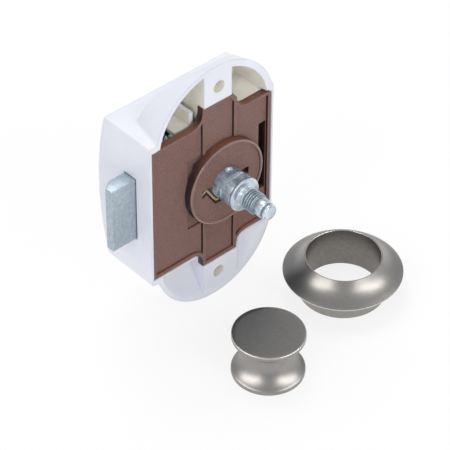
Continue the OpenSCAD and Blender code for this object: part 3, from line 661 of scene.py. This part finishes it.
# Guide disc with its raised lip and two notches
discShape = {
    "radius": 12.7, "front": 1.2, "back": -0.95, "lip": 0.9, "lipHeight": 0.4, "boss": 11.2, "bossBack": -2.3,
    "bore": 4.8, "rightNotch": [(3, -1.2), (7.9, -1.2), (7.9, 1.0), (3, 1.0)],
    "leftNotch": [(-8.4, -1.5), (-8.4, 1.1), (-3, 1.1), (-3, -3), (-1.8, -4.4), (-1.8, -5.6), (-3.8, -5.6),
                  (-6.8, -0.9)],
}


def makeDisc(shape):
    r, f, lip = shape["radius"], shape["front"], shape["lip"]
    top = f + shape["lipHeight"]
    back, bossBack = shape["back"], shape["bossBack"]
    rings = [(shape["bore"], bossBack), (shape["boss"], bossBack), (shape["boss"], back), (r - 0.15, back),
             (r, back + 0.15), (r, top - 0.3), (r - 0.1, top - 0.08), (r - 0.3, top), (r - lip + 0.25, top),
             (r - lip + 0.06, top - 0.08), (r - lip, top - 0.25), (r - lip - 0.06, f + 0.06),
             (r - lip - 0.2, f), (9.5, f), (7.0, f), (5.6, f + 0.03), (shape["bore"] + 0.15, f + 0.05),
             (shape["bore"], f - 0.1)]
    disc = turnPiece("brownDisc", rings, along="y", sides=160, closed=True)
    cutWith(disc, [addOutline(name, shape[name], (-3, 5), "y") for name in ("leftNotch", "rightNotch")])
    tidyMesh(disc, 0.01)
    smoothShade(disc, 35)
    finishPiece(disc, "housing", ["guide_disc"],
                [finishes["brown"], finishes["brownEdgeAndShade"], finishes["brownLip"]])
    for face in disc.data.polygons:
        fromAxis = math.hypot(face.center.x, face.center.z) / mm
        # the disc's side takes the edge material, with painted shade on the part that faces the bolt side
        if abs(face.normal.y) < 0.6:
            face.material_index = 1
        if fromAxis > r - lip + 0.15 and face.center.y < -(top - 0.45) * mm:
            face.material_index = 2  # the lip is rubbed smooth
    return disc


# Bolt: beveled head, stop shoulders, spring lug and two arms with the slanted slots
boltShape = {
    "nose": -33.0, "neck": -15.5, "front": 5.9, "back": 10.2, "half": 10.0, "bevel": (2.7, 1.8),
    "softness": 0.22, "backSoftness": 0.25,
    # low corner, high corner
    "shoulder": ((-22.9, 5.1, -12.2), (-20.7, 11.0, 12.2)), "lug": ((-22.9, 5.7, 0), (-21.3, 10.3, 19.2)),
    "web": ((-19, 3.5, -10.3), (-15.5, 18.2, 10.3)),
    # arms: x, y and distance from the middle, each from and to
    "armX": (-16.5, 4.0), "armY": (3.5, 18.2), "armZ": (7.8, 10.3),
    "slot": [(0, 15.2), (-8, 6.2)], "slotRadius": 1.4, "rodRadius": 1.15, "rodAt": (-22.5, 8, 16.6),
}


def makeBolt(shape):
    nose, y0, y1, h = shape["nose"], shape["front"], shape["back"], shape["half"]
    bevelX, bevelY = shape["bevel"]
    head = addOutline("zincBolt", [(nose, y0), (shape["neck"], y0), (shape["neck"], y1), (nose + bevelX, y1),
                                   (nose, y1 - bevelY)], (-h, h), "z")
    softEdges(head, shape["softness"], 3, 25)
    parts = [addBlock(name, *shape[name]) for name in ("shoulder", "lug", "web")]
    for side in (-1, 1):
        z0, z1 = sorted(side * z for z in shape["armZ"])
        parts.append(addBlock("arm", (shape["armX"][0], shape["armY"][0], z0),
                              (shape["armX"][1], shape["armY"][1], z1)))
    cutWith(head, [softEdges(part, shape["backSoftness"], 2) for part in parts], "UNION")
    (x0, y0), (x1, y1) = shape["slot"]
    lean = math.degrees(math.atan2(y1 - y0, x1 - x0))
    turned = []
    for x, y, first in ((x0, y0, 90), (x1, y1, -90)):  # a half circle round each end of the slot
        for turn in range(first, first + 181, 12):
            a = math.radians(lean + turn)
            turned.append((x + shape["slotRadius"] * math.cos(a), y + shape["slotRadius"] * math.sin(a)))
    cutWith(head, [addOutline("driveSlot", turned, (-12, 12), "z"),
                   addBar("rodHole", shape["rodRadius"], 5, shape["rodAt"], "x", 40)])
    tidyMesh(head, 0.005)
    smoothShade(head, 35)
    return finishPiece(head, "bolt", ["bolt"], [finishes["boltZinc"]])


# Bolt spring: an open coil of wire along x, beside the bolt's lug
springShape = {"wire": 0.3, "coil": 1.9, "turns": 7, "start": -20.9, "end": -9.85, "y": 8.0, "z": 16.6,
               "anchor": -9.5, "travel": 8.0}


def makeBoltSpring(shape):
    clearSelection()
    bpy.ops.mesh.primitive_circle_add(vertices=12, radius=shape["wire"] * mm, fill_type="NOTHING")
    spring = bpy.context.object
    spring.name = "boltCoilSpring"
    bpy.ops.object.mode_set(mode="EDIT")
    bpy.ops.mesh.select_all(action="SELECT")
    bpy.ops.transform.translate(value=(0, shape["coil"] * mm, 0))
    bpy.ops.object.mode_set(mode="OBJECT")
    coil = spring.modifiers.new("coil", "SCREW")
    coil.axis = "X"
    coil.iterations = shape["turns"]
    coil.screw_offset = (shape["end"] - shape["start"]) / shape["turns"] * mm
    coil.steps = 32
    bpy.ops.object.modifier_apply(modifier=coil.name)
    bpy.ops.object.mode_set(mode="EDIT")
    bpy.ops.mesh.select_all(action="SELECT")
    bpy.ops.mesh.fill_holes(sides=0)
    bpy.ops.mesh.normals_make_consistent(inside=False)
    bpy.ops.object.mode_set(mode="OBJECT")
    spring.location = (shape["start"] * mm, shape["y"] * mm, shape["z"] * mm)
    bakePlace(spring)
    smoothShade(spring, 50)
    finishPiece(spring, "housing", ["bolt_spring"], [finishes["steel"]])
    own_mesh(spring)
    return spring


# Spindle sleeve: a tube with a flat, a dimple and a side window
sleeveShape = {
    "radius": 4.7, "front": 7.6, "bore": 2.65, "neck": 4.0, "shoulderAt": -12.55,
    "clipGroove": (-18.1, -18.9), "grooveDepth": 0.5, "end": -19.0, "innerEnd": 2.8,
    "dimple": 1.35, "dimpleAt": (0.1, -2.6, 5.05), "softness": 0.25,
    # low corner, high corner; the window is turned to the side after it is made
    "flat": ((-2.3, -7.9, 3.75), (2.5, -4.5, 6.7)), "window": ((-1.8, -5.5, 3.4), (1.8, -2.6, 6.7)),
}


def makeSleeve(shape):
    r, f, n, bore = shape["radius"], shape["front"], shape["neck"], shape["bore"]
    grooveTop, grooveEnd = shape["clipGroove"]
    shoulder = shape["shoulderAt"]
    rings = [(bore, f), (r - 0.35, f), (r - 0.1, f - 0.1), (r, f - 0.35), (r, -3), (r, shoulder + 0.2),
             (r - 0.2, shoulder), (n, shoulder), (n, grooveTop),
             (n - shape["grooveDepth"], grooveTop), (n - shape["grooveDepth"], grooveEnd), (n, grooveEnd),
             (n, shape["end"]), (shape["innerEnd"], shape["end"]), (shape["innerEnd"], -6), (bore, -5.9),
             (bore, -3.3)]
    sleeve = turnPiece("zincSleeve", rings, along="y", sides=128, closed=True)
    clearSelection()
    bpy.ops.mesh.primitive_uv_sphere_add(segments=48, ring_count=24, radius=shape["dimple"] * mm,
                                         location=[a * mm for a in shape["dimpleAt"]])
    dimple = bakePlace(bpy.context.object)
    flat = softEdges(addBlock("flat", *shape["flat"]), shape["softness"], 2)
    window = softEdges(addBlock("window", *shape["window"]), shape["softness"], 3)
    window.rotation_euler = (0, math.radians(270), 0)
    cutWith(sleeve, [dimple, flat, bakePlace(window)])
    tidyMesh(sleeve, 0.005)
    smoothShade(sleeve, 40)
    finishPiece(sleeve, "spindle", ["spindle_sleeve"],
                [finishes["spindleZinc"], finishes["grooveZincAndShade"], finishes["collarZincAndHighlight"]])
    for face in sleeve.data.polygons:
        x, y, z = (c / mm for c in face.center)
        fromAxis = math.hypot(x, z)
        # side window: a painted highlight on the end towards the disc, painted shade on the end towards the
        # stud
        if x < -3 and abs(z) < 1.8 and 3.0 < fromAxis < r - 0.1 and abs(face.normal.x) < 0.97:
            face.material_index = 1 if y < -4.6 else 2 if y > -3.4 else 0
        # painted highlight on the step at the end of the flat
        if z > 3 and -4.9 < y < -4.2 and fromAxis < r - 0.05 and abs(x) < 2.6:
            face.material_index = 2
    return sleeve


# Stud: collar, thread with rounded crests, neck and rounded tip
studShape = {
    "collar": 4.9, "collarFront": 8.6, "collarBack": 7.62, "shank": 2.6,
    "threadStart": 1.4, "pitch": 0.8, "crests": 5, "greaseTo": 2.76,
    "tip": 18.5, "tipRadius": 2.3, "tipRound": 0.8,
    # radius and height: the foot over the collar, one crest of the thread, the groove under the tip
    "foot": [(3.5, 0), (3.15, 0.06), (2.8, 0.3), (2.68, 0.6), (2.68, 1.2)],
    "crest": [(2.5, 0), (2.94, 0.3), (3.0, 0.37), (2.94, 0.44), (2.5, 0.74)],
    "tipGroove": [(2.55, -2.05), (2.5, -1.95), (2.2, -1.8), (2.15, -1.7), (2.15, -1.45), (2.2, -1.35),
                  (2.3, -1.2)],
}


def makeStud(shape):
    c, cf, cb, tip = shape["collar"], shape["collarFront"], shape["collarBack"], shape["tip"]
    rings = [(0, -3), (shape["shank"], -3), (shape["shank"], cb), (c - 0.25, cb), (c - 0.06, cb + 0.06),
             (c, cb + 0.25), (c, cf - 0.3), (c - 0.1, cf - 0.1), (c - 0.32, cf)]
    rings += [(radius, cf + up) for radius, up in shape["foot"]]
    start = cf + shape["threadStart"]
    for turn in range(shape["crests"]):
        rings += [(radius, start + turn * shape["pitch"] + up) for radius, up in shape["crest"]]
    end = start + shape["crests"] * shape["pitch"]
    rings.append((shape["tipGroove"][0][0], end + 0.1))
    rings += [(radius, tip + up) for radius, up in shape["tipGroove"]]
    tipRound = shape["tipRound"]
    for turn in range(0, 91, 15):
        a = math.radians(turn)
        rings.append((shape["tipRadius"] - tipRound + tipRound * math.cos(a),
                      tip - tipRound + tipRound * math.sin(a)))
    rings.append((0, tip))
    stud = turnPiece("zincStud", rings, along="y", sides=96)
    smoothShade(stud, 40)
    finishPiece(stud, "spindle", ["threaded_stud"], [finishes["collarZincAndHighlight"], finishes["grooveZincAndShade"]])
    for face in stud.data.polygons:  # the thread and the groove under the tip are darker
        fromAxis = math.hypot(face.center.x, face.center.z) / mm
        reach = -face.center.y / mm
        inThread = start - 0.1 < reach < end and fromAxis < shape["greaseTo"]
        if inThread or end < reach < tip - 1.3 and fromAxis < shape["tipRadius"]:
            face.material_index = 1
    return stud


# Rosette ring: bowed flange over a short collar
rosetteShape = {"at": (24.1, -21.9, floorZ), "bore": 10.2, "flange": 16.4, "collar": 12.1, "height": 12.2,
                "collarHeight": 6.6, "edge": 0.7, "bow": 0.09}


def makeRosette(shape):
    r0, r1, rc, h, c = shape["bore"], shape["flange"], shape["collar"], shape["height"], shape["collarHeight"]
    wide, tall = r1 - r0 - 0.4, h - c - shape["edge"]
    rings = [(r0 + 0.15, 0), (rc - 0.2, 0), (rc, 0.2), (rc, c - 0.15), (rc + 0.15, c), (r1 - 0.35, c),
             (r1 - 0.1, c + 0.1), (r1, c + 0.32), (r1, c + 0.55)]
    steps = 16
    for step in range(1, steps + 1):  # bowed slope from the flange's edge up to the bore
        t = 0.1 + 0.9 * step / steps
        bow = shape["bow"] * math.sin(math.pi * t)
        rings.append((r1 - wide * (t + bow), c + shape["edge"] + tall * (t - bow)))
    rings += [(r0 + 0.3, h), (r0 + 0.18, h - 0.02), (r0 + 0.06, h - 0.1), (r0, h - 0.25), (r0, 6), (r0, 0.15)]
    ring = turnPiece("nickelRosette", rings, shape["at"], sides=160, closed=True)
    smoothShade(ring, 30)
    finishPiece(ring, "rosette", ["rosette"],
                [finishes["nickel"], finishes["nickelBoreShade"], finishes["nickelRimHighlight"]])
    for face in ring.data.polygons:  # painted shade in the bore, a painted highlight on the two rims
        away = math.hypot(face.center.x / mm - shape["at"][0], face.center.y / mm - shape["at"][1])
        up = face.center.z / mm - floorZ
        if away < r0 + 0.05 and up < h - 0.4:
            face.material_index = 1
        elif away < r0 + 0.32 and up > h - 0.3 or away > r1 - 0.3 and up > c - 0.05:
            face.material_index = 2
    return ring


# Mushroom knob, standing on its skirt
knobShape = {
    "at": (-12.4, -31.7, floorZ), "radius": 9.85, "waist": 5.9, "skirtTurn": 32, "height": 13.5,
    "capEdge": 1.3, "band": 1.3,
    # radius and height from the socket of the insert out to the foot
    "underside": [(0, 8.4), (3.9, 8.4), (3.9, 5.0), (6.2, 3.2), (6.2, 2.3), (7.6, 0.8), (7.9, 0.1),
                  (8.0, 0.0)],
}


def makeKnob(shape):
    r, w, first = shape["radius"], shape["waist"], shape["skirtTurn"]
    arc = (r - 0.1 - w) / (1 - math.sin(math.radians(first)))
    waist = shape["band"] + arc * math.cos(math.radians(first))
    top = shape["height"] - shape["capEdge"]
    h = shape["height"]
    rings = shape["underside"] + [(r - 0.25, 0), (r - 0.05, 0.08), (r, 0.3), (r, shape["band"] - 0.25),
                                  (r - 0.04, shape["band"] - 0.08)]
    for step in range(17):  # flared skirt, an arc up to the upright waist
        a = math.radians(first + (90 - first) * step / 16)
        rings.append((w + arc * (1 - math.sin(a)), waist - arc * math.cos(a)))
    for turn in range(10, 81, 10):  # hollow under the cap
        a = math.radians(turn)
        rings.append((w + (r - w - 0.2) * (1 - math.cos(a)), waist + (top - waist) * math.sin(a)))
    rings += [(r - 0.15, top), (r - 0.02, top + 0.1), (r, top + 0.3), (r, h - 0.3), (r - 0.08, h - 0.1),
              (r - 0.3, h), (r - 1.5, h), (6, h), (3, h), (0, h)]
    knob = turnPiece("nickelKnob", rings, shape["at"], sides=144)
    smoothShade(knob, 30)
    finishPiece(knob, "knob", ["knob"],
                [finishes["nickel"], finishes["nickelBoreShade"], finishes["nickelRimHighlight"]])
    for face in knob.data.polygons:  # painted shade in the hollow under the cap, a painted highlight on the cap's edge
        away = math.hypot(face.center.x / mm - shape["at"][0], face.center.y / mm - shape["at"][1])
        up = face.center.z / mm - floorZ
        if waist + 0.3 < up < top - 0.1:
            face.material_index = 1
        elif away > r - 0.3 and h - 0.5 < up:
            face.material_index = 2
    return knob


plate = makePlate(plateShape)
disc = makeDisc(discShape)
makeBolt(boltShape)
makeBoltSpring(springShape)
makeSleeve(sleeveShape)
makeStud(studShape)
ring = makeRosette(rosetteShape)
knob = makeKnob(knobShape)
makeCase(caseShape, plateShape)

# the ring and the knob were lit by two broad cards of their own, left and right
lit = bpy.data.collections.new("litByCards")
unlit = bpy.data.collections.new("notLitByBoxes")
for piece in (ring, knob):
    lit.objects.link(piece)
    unlit.objects.link(piece)
for name, holder in lampHolders.items():
    holder.light_linking.receiver_collection = lit if name.endswith("Card") else unlit
for member in unlit.collection_objects:
    member.light_linking.link_state = "EXCLUDE"
for piece in (plate, disc):  # the bright metal doesn't mirror the brown plate in the photograph
    piece.visible_glossy = False
